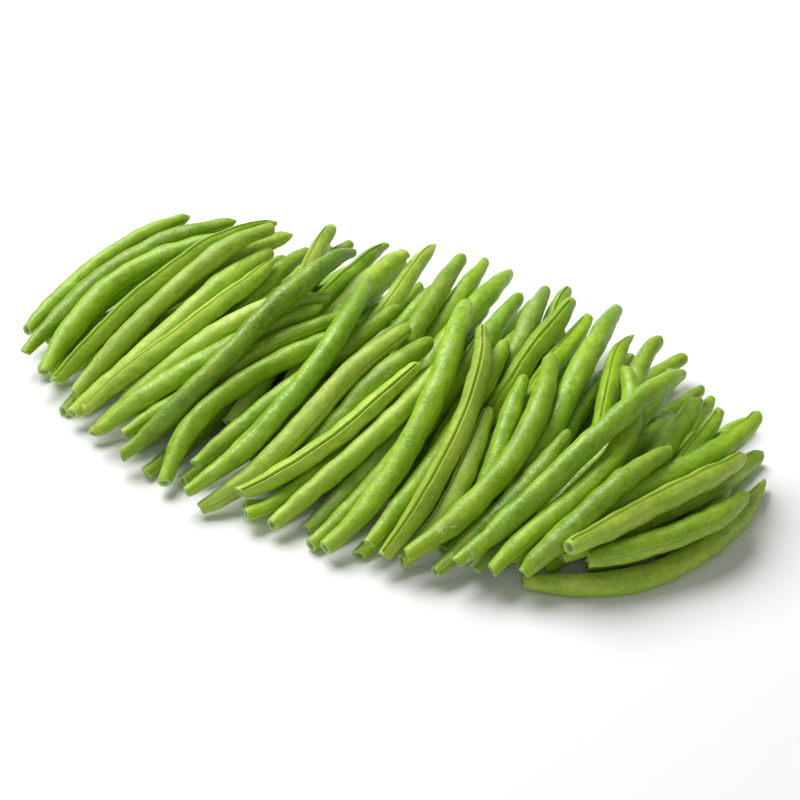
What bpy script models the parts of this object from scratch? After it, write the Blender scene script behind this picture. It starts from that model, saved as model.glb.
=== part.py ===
# A bundle of trimmed green beans, piled side by side on a flat surface.
# Every pod has its own place in the heap: it starts from a hand-chosen line in plan,
# takes its height from the heap's crown, and is then eased clear of its neighbours.
# The pods on top are pieces of their own, and the pods under them are fused in handfuls.
import math

import bmesh
import bpy
import numpy as np

# Driving dimensions in millimetres, turned into metres where the meshes are made
MM = 0.001
HEAP_REACH = 178.0
HEAP_SHOULDER = 4
HEAP_LOWEST = 0.05
CROWN_Y = (-95.0, -75.0, -50.0, -20.0, 15.0, 45.0, 80.0, 100.0)
CROWN_Z = (9.0, 13.0, 23.0, 35.0, 44.0, 45.0, 40.0, 36.0)
LAYER_DEPTH = 7.6
HERO_DROP = 9.0
HEAP_MIDDLE = (-1.7, 3.5)
POD_GAP = 0.7
FUSED_SINK = 1.4
FLOOR_PRESS = 0.25
HANDFULS = 10
FRONT_END_TAPER = (0.72, 0.16)
BACK_END_TAPER = (0.62, 0.2)

# A pod's tube has eight sides, and straight runs between rings at these of its samples
SIDES = 8
FLAT_SIDE_DOWN = math.pi / SIDES
TOP_RINGS = (0, 3, 11, 19, 27, 35, 43, 48)
LOWER_RINGS = (0, 6, 16, 26, 36, 44, 48)
BED_RINGS = (0, 10, 24, 38, 48)

# How deep a pod's front and back ends start below the crown, in layers of pods
LIES = {
    "hero": (0.0, 0.25),
    "slope": (0.1, 0.3),
    "tucked": (0.1, 1.0),
    "rising": (1.7, 0.1),
    "rear": (2.6, 0.1),
    "under": (1.2, 2.2),
    "buried": (3.0, 1.2),
    "below": (1.2, 1.3),
    "deep": (2.0, 2.1),
    "floor": (9.0, 9.0),
}

# Pods seen between others: front end x and y, back end x and y, sideways bow, girth, lie
LOWER_PODS = (
    (-143, -46, -116, 56, -8, 8.0, "below"),
    (-120, -62, -98, 50, -3, 8.0, "under"),
    (-84, -62, -71, 43, 9, 8.0, "under"),
    (-82, -68, -54, 35, 2, 8.4, "under"),
    (-66, -79, -45, 35, 0, 8.4, "under"),
    (-50, -76, -26, 38, 0, 8.2, "under"),
    (-38, -60, -12, 48, 0, 8.2, "under"),
    (-24, -62, -1, 24, 8, 8.0, "under"),
    (-12, -85, 20, 20, 3, 7.6, "under"),
    (-18, -81, 30, 10, 6, 7.4, "under"),
    (9, -77, 38, 30, 0, 7.8, "under"),
    (33, -82, 50, 30, 2, 8.2, "under"),
    (60, -62, 65, 13, 0, 7.6, "under"),
    (67, -37, 84, 62, 0, 8.2, "under"),
    (94, -48, 112, 38, 2, 8.0, "under"),
    (76, -70, 100, 40, 2, 8.6, "under"),
    (88, -60, 108, 48, 4, 8.2, "rear"),
    (112, -50, 132, 42, 4, 8.2, "rear"),
    (122, -42, 140, 34, 4, 8.0, "rear"),
    (-88, -45, -91, 62, 0, 7.8, "buried"),
    (-76, -50, -71, 60, 0, 8.0, "buried"),
    (-60, -40, -56, 75, 2, 8.6, "rear"),
    (-66, -35, -38, 77, 0, 8.2, "rear"),
    (-5, -50, -5, 60, 0, 8.0, "buried"),
    (32, -45, 39, 63, 0, 8.2, "buried"),
    (52, -40, 48, 68, 0, 8.0, "buried"),
    (88, -60, 78, 42, 0, 8.2, "buried"),
    (-88, -42, -42, 60, 0, 8.6, "buried"),
    (-2, -45, -14, 66, 3, 8.2, "buried"),
    (60, -25, 43, 90, 0, 7.8, "rear"),
    (98, -40, 82, 64, 0, 8.0, "rear"),
    (-152, -30, -130, 57, -6, 8.2, "below"),
    (-147, -30, -134, 52, -5, 8.2, "deep"),
    (104, -46, 146, 24, 14, 8.2, "deep"),
)

# Pods on top, in the same terms, and their tone
TOP_PODS = (
    (-160, -33, -136, 60, -5, 8.2, "slope", "green"),
    (-151, -46, -110, 62, -11, 8.4, "slope", "green"),
    (-76, -34, -104, 70, 0, 7.2, "rear", "green"),
    (-50, -45, -67, 70, 2, 8.6, "rear", "pale"),
    (-28, -40, -26, 71, -6, 9.4, "rear", "pale"),
    (2, -30, -5, 84, 2, 8.6, "rear", "bright"),
    (22, -35, 28, 75, 4, 9.2, "rear", "dark"),
    (48, -30, 40, 78, 3, 8.2, "rear", "dusky"),
    (46, -40, 56, 70, 2, 9.0, "rear", "bright"),
    (72, -40, 71, 80, 4, 9.4, "rear", "dark"),
    (96, -45, 92, 71, 4, 9.0, "rear", "bright"),
    (-12, -20, -24, 92, 1, 7.6, "rear", "pale"),
    (-2, -20, 3, 92, 6, 7.8, "rear", "bright"),
    (2, -30, 17, 90, 4, 9.2, "rear", "green"),
    (50, -45, 61, 69, 5, 8.8, "rear", "bright"),
    (100, -60, 124, 39, 5, 9.8, "rear", "bright"),
    (-138, -46, -78, 60, 4, 8.4, "rising", "pale"),
    (-115, -58, -85, 50, -4, 8.4, "slope", "pale"),
    (-126, -57, -80, 55, -4, 7.8, "slope", "bright"),
    (-134, -54, -96, 50, -19, 9.2, "slope", "bright"),
    (-111, -67, -79, 43, 4, 8.6, "slope", "pale"),
    (-103, -66, -75, 37, 8, 7.8, "slope", "pale"),
    (-86, -68, -22, 22, -2, 7.4, "tucked", "bright"),
    (-91, -72, -30, 15, -6, 8.6, "tucked", "green"),
    (-99, -71, -28, 15, -9, 7.8, "tucked", "pale"),
    (-56, -82, -14, 16, -12, 9.0, "slope", "green"),
    (-47, -72, -4, 30, 2, 7.6, "tucked", "bright"),
    (-27, -62, -11, 22, 8, 8.2, "tucked", "dusky"),
    (-32, -89, 6, 15, 5, 8.8, "slope", "pale"),
    (-25, -77, 24, 0, 6, 8.4, "slope", "pale"),
    (-9, -83, 30, 14, 2, 8.6, "slope", "pale"),
    (-18, -62, 21, 12, 3, 9.4, "slope", "green"),
    (14, -84, 36, 28, 3, 8.6, "slope", "bright"),
    (38, -79, 36, 30, 7, 8.4, "slope", "bright"),
    (50, -77, 56, -7, 8, 8.0, "slope", "pale"),
    (70, -62, 57, 12, -3, 8.2, "slope", "dark"),
    (64, -77, 85, -5, 5, 8.4, "slope", "dark"),
    (84, -71, 95, 31, 20, 8.8, "slope", "bright"),
    (102, -50, 147, 46, 7, 8.6, "rising", "green"),
    (97, -67, 127, 0, 0, 8.8, "slope", "green"),
    (88, -51, 157, 34, 23, 8.8, "floor", "pale"),
    (100, -52, 154, 34, 5, 9.2, "rising", "bright"),
    (110, -47, 157, 7, 9, 9.2, "slope", "green"),
    (99, -52, 152, 18, 6, 8.4, "slope", "pale"),
    (-76, -80, -40, 48, 5, 9.2, "hero", "dark"),
    (-38, -88, -26, 37, 14, 9.0, "hero", "dark"),
    (22, -85, 18, 40, 14, 9.2, "hero", "green"),
    (46, -81, 34, 24, 14, 8.8, "hero", "pale"),
    (56, -79, 65, 27, 15, 8.8, "hero", "bright"),
    (72, -76, 118, 39, 4, 9.0, "hero", "dark"),
)

# Rows of pods at the bottom of the heap: spacing, height, front y, back y, reach in x.
# Their lean is a middle value, its growth with x, and its spread
BED_ROWS = (
    (10.0, 4.3, -48, 84, 142),
    (17.0, 12.0, -30, 90, 115),
)
BED_SEED = 7
BED_GIRTH = (7.8, 8.8)
BED_HALF_LENGTH = 58.0
BED_END_X = 170.0
BED_STAGGER = (-6, 8)
BED_LEAN = (12.0, 0.06, 6.0)
BED_BOW = 4.0

# Sampling and stiffness of the pods while they are eased apart
SAMPLES = 49
SHARE = np.linspace(0.0, 1.0, SAMPLES)
BENDS = 4
SPANS = 6
BASIS, _ = np.linalg.qr(np.stack([(2 * SHARE - 1) ** k for k in range(BENDS)], 1))
FLAT_HEIGHT = math.cos(math.pi / SIDES)
NEAR_REACH = 3.0
NEAR_REFRESH = 20
TOUCHING = 0.02
DIGITS = 4
KEEP_PLACE = 0.02
KEEP_BEND = 0.06
FLOOR_EASE = 0.5
SPREADING = {"rounds": 150, "ease": 0.35, "settle": 0.0, "rise": 0.02}
SETTLING = {"rounds": 220, "ease": 0.35, "settle": 0.01, "rise": 0.01}
CLEARING = {"rounds": 900, "ease": 0.45}

# Making of the meshes, in metres and degrees
WELD = 0.00001
TRIM = 0.0000001
SHARP_EDGE = 50

# Pod tones: base colour, roughness
POD_TONES = {
    "pale": ((0.34, 0.51, 0.06), 0.45),
    "bright": ((0.28, 0.46, 0.025), 0.42),
    "green": ((0.24, 0.42, 0.027), 0.4),
    "dark": ((0.19, 0.36, 0.026), 0.38),
    "dusky": ((0.2, 0.36, 0.04), 0.45),
    "shaded": ((0.15, 0.3, 0.02), 0.45),
}


def clear_scene():
    for item in list(bpy.data.objects):
        bpy.data.objects.remove(item, do_unlink=True)


def crown_height(x, y):
    across = np.interp(y, CROWN_Y, CROWN_Z)
    along = np.clip(1 - (np.abs(x) / HEAP_REACH) ** HEAP_SHOULDER, HEAP_LOWEST, 1)
    return across * np.sqrt(along)


def end_taper(share, taper):
    """From the end's own share of the girth up to all of it, over a share of the length."""
    narrow, length = taper
    return narrow + (1 - narrow) * np.sin(np.clip(share / length, 0, 1) * math.pi / 2)


def pod_radii(girth):
    return girth / 2 * end_taper(SHARE, FRONT_END_TAPER) * end_taper(1 - SHARE, BACK_END_TAPER)


def pod_plan(x0, y0, x1, y1, bow):
    chord = np.array([x1 - x0, y1 - y0], float)
    sideways = np.array([chord[1], -chord[0]]) / np.hypot(*chord)
    arch = 4 * SHARE * (1 - SHARE)
    return np.array([x0, y0]) + chord * SHARE[:, None] + sideways * (bow * arch)[:, None]


def placed_pod(row):
    x0, y0, x1, y1, bow, girth, lie = row
    plan = pod_plan(x0, y0, x1, y1, bow)
    front, back = LIES[lie]
    depth = (front + (back - front) * SHARE) * LAYER_DEPTH
    height = np.maximum(crown_height(plan[:, 0], plan[:, 1]) - girth / 2 - depth, girth / 2)
    smooth = BASIS @ (BASIS.T @ height)
    return np.column_stack([plan, smooth]), pod_radii(girth)


def bed_pods():
    draw = np.random.default_rng(BED_SEED)
    pods = []
    for pitch, height, front_y, back_y, reach in BED_ROWS:
        x = -float(reach)
        while x < reach:
            girth = draw.uniform(*BED_GIRTH)
            room = 0.5 * (back_y - front_y) * math.sqrt(1 - (x / BED_END_X) ** 2)
            half = min(BED_HALF_LENGTH, room)
            middle = 0.5 * (front_y + back_y) + BED_STAGGER[len(pods) % 2]
            lean = BED_LEAN[0] + BED_LEAN[1] * x + draw.uniform(-BED_LEAN[2], BED_LEAN[2])
            bow = draw.uniform(-BED_BOW, BED_BOW)
            plan = pod_plan(x - lean / 2, middle - half, x + lean / 2, middle + half, bow)
            line = np.column_stack([plan, np.full(SAMPLES, height)])
            pods.append((line, pod_radii(girth)))
            x += pitch
    return pods


def straight_runs(rings):
    """Rows that turn a sampled curve into the straight runs between its rings."""
    rows = np.zeros((SAMPLES, SAMPLES))
    for first, last in zip(rings[:-1], rings[1:]):
        for sample in range(first, last + 1):
            share = (sample - first) / (last - first)
            rows[sample] = 0
            rows[sample, first] = 1 - share
            rows[sample, last] += share
    return rows


class Heap:
    """Pods as sampled centre lines, which bend smoothly out of each other's way."""

    def __init__(self, pods, rings, handful):
        self.lines = np.array([line for line, _ in pods])
        self.radii = np.array([radii for _, radii in pods])
        self.start = self.lines.copy()
        self.handful = handful
        self.links = []
        kinds = {kind: straight_runs(kind) for kind in set(rings)}
        self.runs = np.array([kinds[kind] for kind in rings])
        self.bends = self.runs @ BASIS
        self.give = (self.bends ** 2).sum(-1)
        self.find_near()

    def tubes(self):
        return self.runs @ self.lines

    def find_near(self):
        """Note the pairs of samples on different pods that could meet."""
        tubes = self.tubes()
        low = tubes.min(1) - self.radii.max(1)[:, None]
        high = tubes.max(1) + self.radii.max(1)[:, None]
        found = []
        for pod in range(len(tubes) - 1):
            meets = (low[pod + 1:] < high[pod] + NEAR_REACH) & (high[pod + 1:] > low[pod] - NEAR_REACH)
            others = np.where(meets.all(axis=1))[0] + pod + 1
            if not len(others):
                continue
            apart = tubes[pod][:, None, None, :] - tubes[others][None]
            limit = self.radii[pod][:, None, None] + self.radii[others][None] + POD_GAP + NEAR_REACH
            here, which, there = np.where((apart ** 2).sum(-1) < limit ** 2)
            found.append(np.column_stack([np.full(len(here), pod), here, others[which], there]))
        one, here, two, there = np.concatenate(found).T
        self.near = one, here, two, there
        same = self.handful[one] == self.handful[two]
        self.reach = self.radii[one, here] + self.radii[two, there] + np.where(same, -FUSED_SINK, POD_GAP)
        self.spans = (one * len(tubes) + two) * SPANS + (here * SPANS) // SAMPLES

    def closest(self, tubes, one, two):
        apart = np.sqrt(((tubes[one][:, None] - tubes[two][None]) ** 2).sum(-1))
        clear = apart - self.radii[one][:, None] - self.radii[two][None]
        here, there = np.unravel_index(clear.argmin(), clear.shape)
        return here, there, clear[here, there], apart[here, there]

    def push_apart(self, ease):
        """Each crossing pushes both its pods half way, and each link pulls its two together."""
        tubes = self.tubes()
        one, here, two, there = self.near
        gap = tubes[one, here] - tubes[two, there]
        distance = np.sqrt((gap ** 2).sum(1)) + 1e-9
        crossing = self.reach - distance
        hits = np.where(crossing > 0)[0]
        worst = crossing[hits].max() if len(hits) else 0.0
        hits = hits[np.lexsort((-crossing[hits], self.spans[hits]))]
        deepest = np.r_[True, self.spans[hits][1:] != self.spans[hits][:-1]][:len(hits)]
        hits = hits[deepest]
        one, here, two, there = one[hits], here[hits], two[hits], there[hits]
        share = crossing[hits] / (self.give[one, here] + self.give[two, there])
        force = (share / distance[hits])[:, None] * gap[hits]
        change = np.zeros((len(tubes), BENDS, 3))
        np.add.at(change, one, self.bends[one, here][:, :, None] * force[:, None, :])
        np.add.at(change, two, -self.bends[two, there][:, :, None] * force[:, None, :])
        for one, two in self.links:
            here, there, clear, apart = self.closest(tubes, one, two)
            loose = clear + FUSED_SINK
            if loose > 0:
                pull = (tubes[two][there] - tubes[one][here]) / apart
                pull = pull * loose / (self.give[one, here] + self.give[two, there])
                change[one] += self.bends[one, here][:, None] * pull
                change[two] -= self.bends[two, there][:, None] * pull
        self.lines += ease * (BASIS @ change)
        return worst

    def lift_off_floor(self):
        below = self.radii * FLAT_HEIGHT - self.tubes()[:, :, 2]
        half = SAMPLES // 2
        for part in (slice(0, half), slice(half, SAMPLES)):
            lowest = below[:, part].argmax(1) + part.start
            depth = below[:, part].max(1)
            sunk = np.where(depth > 0)[0]
            lowest = lowest[sunk]
            lift = self.bends[sunk, lowest] * (depth[sunk] / self.give[sunk, lowest])[:, None]
            self.lines[sunk, :, 2] += FLOOR_EASE * (BASIS @ lift.T).T

    def hold(self, settle, rise):
        """Pods sink a little, and keep near their own place and bend."""
        self.lines[:, :, 2] -= settle
        off = self.start - self.lines
        self.lines[:, :, :2] += KEEP_PLACE * off[:, :, :2]
        self.lines[:, :, 2] += rise * off[:, :, 2]
        self.lines += KEEP_BEND * (BASIS[:, 2:] @ (BASIS[:, 2:].T @ off))

    def round_off(self):
        """Drop the last digits, so that every computer lays the same heap."""
        self.lines = np.round(self.lines, DIGITS)

    def settle_in(self, rounds, ease, settle, rise):
        for turn in range(rounds):
            if turn % NEAR_REFRESH == 0:
                self.find_near()
            self.push_apart(ease)
            self.lift_off_floor()
            self.hold(settle, rise)
            self.round_off()

    def clear_all(self, rounds, ease):
        for turn in range(rounds):
            if turn % NEAR_REFRESH == 0:
                self.find_near()
            worst = self.push_apart(ease)
            self.lift_off_floor()
            self.round_off()
            if worst < TOUCHING:
                break
        print("pods laid in %d rounds, deepest crossing left %.3f mm" % (turn, worst))

    def link_handfuls(self):
        """A tree of the nearest mates in each handful, which keeps it one body."""
        tubes = self.tubes()
        for number in range(HANDFULS):
            loose = list(np.where(self.handful == number)[0])
            joined = [loose.pop(0)]
            while loose:
                _, one, two = min((self.closest(tubes, one, two)[2], one, two)
                                  for one in joined for two in loose)
                self.links.append((one, two))
                joined.append(two)
                loose.remove(two)


def lay_heap():
    """The heap in millimetres, with the numbers of bed pods and of fused pods."""
    bed = bed_pods()
    lower = [placed_pod(row) for row in LOWER_PODS]
    top = [placed_pod(row[:-1]) for row in TOP_PODS]
    rings = [BED_RINGS] * len(bed) + [LOWER_RINGS] * len(lower) + [TOP_RINGS] * len(top)
    pods = bed + lower + top
    fused = len(bed) + len(lower)
    handful = np.arange(len(pods)) + HANDFULS
    middles = np.array([line[:, 0].mean() for line, _ in pods[:fused]])
    handful[np.argsort(middles, kind="stable")] = np.arange(fused) * HANDFULS // fused
    heap = Heap(pods, rings, handful)
    for pod, row in enumerate(TOP_PODS):  # the pods that lie across others start above them
        if row[6] == "hero":
            heap.lines[fused + pod, :, 2] += HERO_DROP
    heap.settle_in(**SPREADING)
    heap.link_handfuls()
    heap.settle_in(**SETTLING)
    heap.clear_all(**CLEARING)
    return heap, len(bed), fused


def pod_material(tone):
    colour, roughness = POD_TONES[tone]
    material = bpy.data.materials.new(tone + "_pod")
    material.use_nodes = True
    shader = material.node_tree.nodes["Principled BSDF"]
    shader.inputs["Base Color"].default_value = (*colour, 1.0)
    shader.inputs["Roughness"].default_value = roughness
    shader.inputs["Metallic"].default_value = 0.0
    return material


def make_pod(name, line, radii, rings, collection):
    """A tapered tube through the rings of a pod's centre line, as a closed mesh."""
    curve = bpy.data.curves.new(name, "CURVE")
    curve.dimensions = "3D"
    curve.twist_mode = "Z_UP"
    curve.bevel_depth = MM
    curve.bevel_resolution = 2
    curve.use_fill_caps = True
    spline = curve.splines.new("POLY")
    spline.points.add(len(rings) - 1)
    for point, sample in zip(spline.points, rings):
        place = line[sample] - (*HEAP_MIDDLE, FLOOR_PRESS)
        point.co = (*(place * MM), 1.0)
        point.radius = radii[sample]
        point.tilt = FLAT_SIDE_DOWN
    guide = bpy.data.objects.new(name, curve)
    collection.objects.link(guide)
    bpy.context.view_layer.update()
    evaluated = guide.evaluated_get(bpy.context.evaluated_depsgraph_get())
    mesh = bpy.data.meshes.new_from_object(evaluated)
    bpy.data.objects.remove(guide, do_unlink=True)
    body = bmesh.new()
    body.from_mesh(mesh)
    bmesh.ops.remove_doubles(body, verts=body.verts, dist=WELD)
    bmesh.ops.recalc_face_normals(body, faces=body.faces)
    body.to_mesh(mesh)
    body.free()
    pod = bpy.data.objects.new(name, mesh)
    collection.objects.link(pod)
    return pod


def fuse(name, pods, collection, spare):
    """One body from a handful of pods that sink into each other."""
    first, rest = pods[0], pods[1:]
    for pod in rest:
        collection.objects.unlink(pod)
        spare.objects.link(pod)
    union = first.modifiers.new("Fused", "BOOLEAN")
    union.operation = "UNION"
    union.solver = "MANIFOLD"
    union.operand_type = "COLLECTION"
    union.collection = spare
    bpy.context.view_layer.update()
    evaluated = first.evaluated_get(bpy.context.evaluated_depsgraph_get())
    mesh = bpy.data.meshes.new_from_object(evaluated)
    for pod in pods:
        bpy.data.objects.remove(pod, do_unlink=True)
    whole = bpy.data.objects.new(name, mesh)
    collection.objects.link(whole)
    return whole


def rest_flat(piece):
    """Trim the underside where the pod presses on the surface at z = 0."""
    body = bmesh.new()
    body.from_mesh(piece.data)
    everything = list(body.verts) + list(body.edges) + list(body.faces)
    cut = bmesh.ops.bisect_plane(body, geom=everything, dist=TRIM, plane_co=(0, 0, 0),
                                 plane_no=(0, 0, -1), clear_outer=True)
    edges = [item for item in cut["geom_cut"] if isinstance(item, bmesh.types.BMEdge)]
    if edges:
        bmesh.ops.holes_fill(body, edges=[edge for edge in body.edges if edge.is_boundary], sides=0)
        bmesh.ops.recalc_face_normals(body, faces=body.faces)
    body.to_mesh(piece.data)
    body.free()


def finish(piece, material):
    rest_flat(piece)
    piece.data.materials.clear()
    piece.data.materials.append(material)
    piece.data.shade_smooth()
    piece.data.set_sharp_from_angle(angle=math.radians(SHARP_EDGE))


def main():
    clear_scene()
    scene = bpy.context.scene
    bundle = bpy.data.collections.new("green_bean_bundle")
    spare = bpy.data.collections.new("spare_pods")
    scene.collection.children.link(bundle)
    scene.collection.children.link(spare)
    materials = {tone: pod_material(tone) for tone in POD_TONES}
    heap, bed_count, fused = lay_heap()
    for number in range(HANDFULS):
        pods = []
        for pod in np.where(heap.handful == number)[0]:
            rings = BED_RINGS if pod < bed_count else LOWER_RINGS
            pods.append(make_pod("pod", heap.lines[pod], heap.radii[pod], rings, bundle))
        whole = fuse("handful_%02d" % (number + 1), pods, bundle, spare)
        finish(whole, materials["shaded"])
    for number, (*_, tone) in enumerate(TOP_PODS):
        name = "bean_%02d" % (number + 1)
        line, radii = heap.lines[fused + number], heap.radii[fused + number]
        finish(make_pod(name, line, radii, TOP_RINGS, bundle), materials[tone])
    bpy.data.collections.remove(spare)
    print("pods %d, pieces %d" % (len(heap.lines), len(bundle.objects)))


main()
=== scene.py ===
# A heap of trimmed green beans. Each finely modelled pod lies on the same line as its solid.
import math

import bmesh
import bpy
import numpy as np
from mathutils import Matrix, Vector


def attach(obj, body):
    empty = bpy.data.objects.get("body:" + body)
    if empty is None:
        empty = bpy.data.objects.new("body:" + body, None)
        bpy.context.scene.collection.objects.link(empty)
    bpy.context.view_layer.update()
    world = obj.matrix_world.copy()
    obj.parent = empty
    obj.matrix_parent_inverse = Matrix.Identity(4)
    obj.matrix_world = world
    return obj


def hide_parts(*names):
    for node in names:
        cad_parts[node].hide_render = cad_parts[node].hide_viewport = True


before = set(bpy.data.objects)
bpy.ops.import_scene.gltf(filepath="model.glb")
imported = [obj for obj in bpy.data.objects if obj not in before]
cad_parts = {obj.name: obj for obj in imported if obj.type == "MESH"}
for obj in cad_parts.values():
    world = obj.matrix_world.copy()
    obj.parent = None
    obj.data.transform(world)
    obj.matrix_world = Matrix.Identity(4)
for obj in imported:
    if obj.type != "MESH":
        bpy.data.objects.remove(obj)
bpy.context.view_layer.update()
mm = 0.001


# Where the pods lie: the heap's own shape and rules, in millimetres

heap = {
    "reach": 178.0, "shoulder": 4, "lowest": 0.05,
    "crownY": (-95.0, -75.0, -50.0, -20.0, 15.0, 45.0, 80.0, 100.0),
    "crownZ": (9.0, 13.0, 23.0, 35.0, 44.0, 45.0, 40.0, 36.0),
    "layerDepth": 7.6, "heroDrop": 9.0, "middle": (-1.7, 3.5, 0.25), "handfuls": 10,
    "gap": 0.7, "fusedSink": 1.4, "frontTaper": (0.72, 0.16), "backTaper": (0.62, 0.2),
    "topRings": (0, 3, 11, 19, 27, 35, 43, 48),
    "lowerRings": (0, 6, 16, 26, 36, 44, 48),
    "bedRings": (0, 10, 24, 38, 48),
}

# Depth of a pod's front and back ends below the crown, in layers of pods
lies = {
    "hero": (0.0, 0.25), "slope": (0.1, 0.3), "tucked": (0.1, 1.0), "rising": (1.7, 0.1),
    "rear": (2.6, 0.1),
    "under": (1.2, 2.2), "buried": (3.0, 1.2), "below": (1.2, 1.3), "deep": (2.0, 2.1),
    "floor": (9.0, 9.0),
}

# Pods seen between others: front x and y, back x and y, bow, girth, lie, tone, look
lowerPods = (
    (-143, -46, -116, 56, -8, 8.0, "below", "dark", "smooth"),
    (-120, -62, -98, 50, -3, 8.0, "under", "dark", "smooth"),
    (-84, -62, -71, 43, 9, 8.0, "under", "pale", "ridged"),
    (-82, -68, -54, 35, 2, 8.4, "under", "green", "smooth"),
    (-66, -79, -45, 35, 0, 8.4, "under", "dark", "smooth"),
    (-50, -76, -26, 38, 0, 8.2, "under", "dark", "seedy"),
    (-38, -60, -12, 48, 0, 8.2, "under", "dark", "smooth"),
    (-24, -62, -1, 24, 8, 8.0, "under", "pale", "ridged"),
    (-12, -85, 20, 20, 3, 7.6, "under", "bright", "smooth"),
    (-18, -81, 30, 10, 6, 7.4, "under", "bright", "ridged"),
    (9, -77, 38, 30, 0, 7.8, "under", "dusky", "smooth"),
    (33, -82, 50, 30, 2, 8.2, "under", "bright", "smooth"),
    (60, -62, 65, 13, 0, 7.6, "under", "green", "ridged"),
    (67, -37, 84, 62, 0, 8.2, "under", "dark", "smooth"),
    (94, -48, 112, 38, 2, 8.0, "under", "dark", "smooth"),
    (76, -70, 100, 40, 2, 8.6, "under", "dusky", "seedy"),
    (88, -60, 108, 48, 4, 8.2, "rear", "dark", "smooth"),
    (112, -50, 132, 42, 4, 8.2, "rear", "dark", "ridged"),
    (122, -42, 140, 34, 4, 8.0, "rear", "dark", "smooth"),
    (-88, -45, -91, 62, 0, 7.8, "buried", "dark", "smooth"),
    (-76, -50, -71, 60, 0, 8.0, "buried", "green", "smooth"),
    (-60, -40, -56, 75, 2, 8.6, "rear", "dusky", "smooth"),
    (-66, -35, -38, 77, 0, 8.2, "rear", "dark", "ridged"),
    (-5, -50, -5, 60, 0, 8.0, "buried", "dark", "smooth"),
    (32, -45, 39, 63, 0, 8.2, "buried", "dark", "smooth"),
    (52, -40, 48, 68, 0, 8.0, "buried", "dark", "smooth"),
    (88, -60, 78, 42, 0, 8.2, "buried", "dark", "smooth"),
    (-88, -42, -42, 60, 0, 8.6, "buried", "green", "ridged"),
    (-2, -45, -14, 66, 3, 8.2, "buried", "bright", "smooth"),
    (60, -25, 43, 90, 0, 7.8, "rear", "bright", "ridged"),
    (98, -40, 82, 64, 0, 8.0, "rear", "bright", "pointed"),
    (-152, -30, -130, 57, -6, 8.2, "below", "green", "smooth"),
    (-147, -30, -134, 52, -5, 8.2, "deep", "dark", "smooth"),
    (104, -46, 146, 24, 14, 8.2, "deep", "green", "smooth"),
)

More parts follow.
